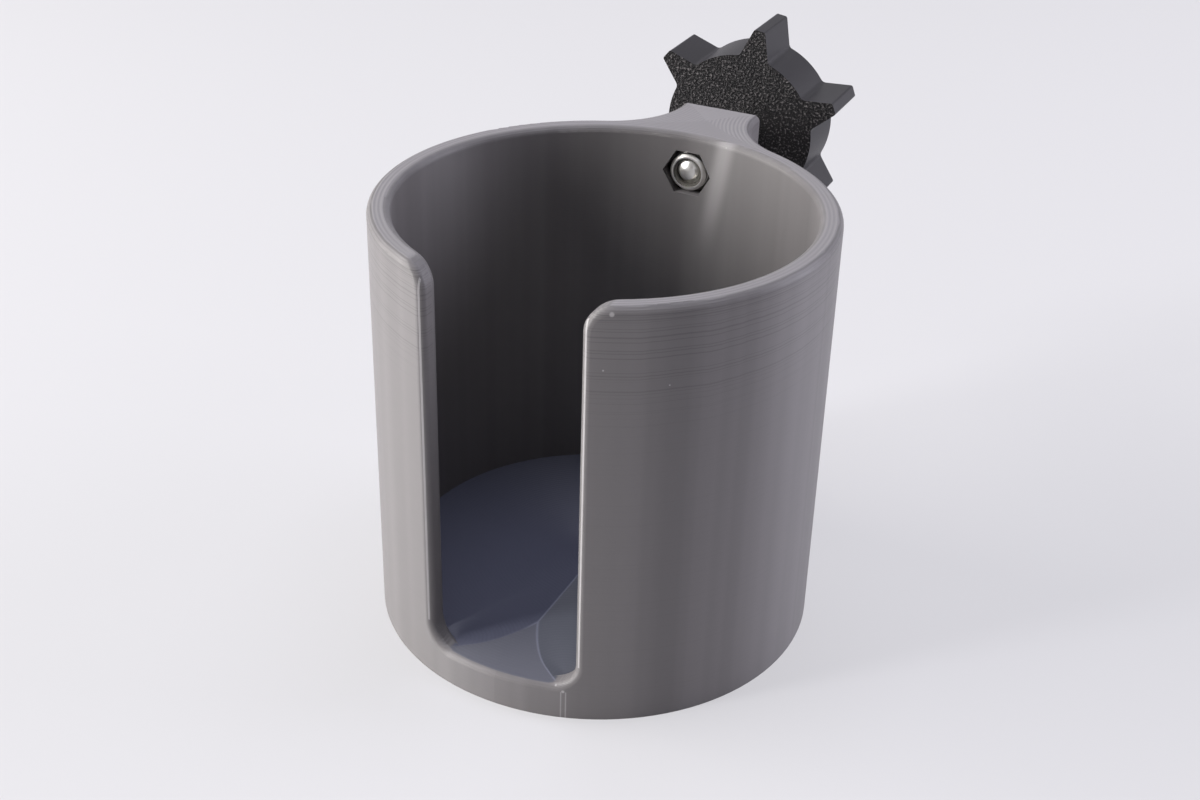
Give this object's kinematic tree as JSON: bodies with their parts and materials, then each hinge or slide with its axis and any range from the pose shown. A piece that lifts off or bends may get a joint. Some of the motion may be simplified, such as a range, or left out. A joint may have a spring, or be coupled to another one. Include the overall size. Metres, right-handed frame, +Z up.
{
  "type": "clamp-on cup holder",
  "caption": "Straight printed cup holder with a handle slot, and a necked mount with a star knob on a bolt that clamps it to a bracket.",
  "frame": {"origin": "middle of the cup's flat underside, on the cup's axis", "axes": "+Z up along the cup's axis, +Y along the neck and the clamp bolt, away from the handle slot"},
  "size_m": [0.1, 0.1435, 0.1144],
  "materials": {
    "grey_print": "satin, fine horizontal layer lines",
    "black_print": "satin sides, pebbled face",
    "zinc_steel": "bright zinc plating",
    "nylon": "plain"
  },
  "bodies": {
    "holder": {"cup": "grey_print", "lock_nut": "zinc_steel", "nut_insert": "nylon"},
    "clamp_screw": {"bolt": "zinc_steel", "knob": "black_print"}
  },
  "joints": [
    {"name": "knob_turn", "type": "hinge", "parent": "holder", "child": "clamp_screw", "pos_m": [0, 0.078, 0.0885], "axis": [0, -1, 0], "continuous": true}
  ]
}
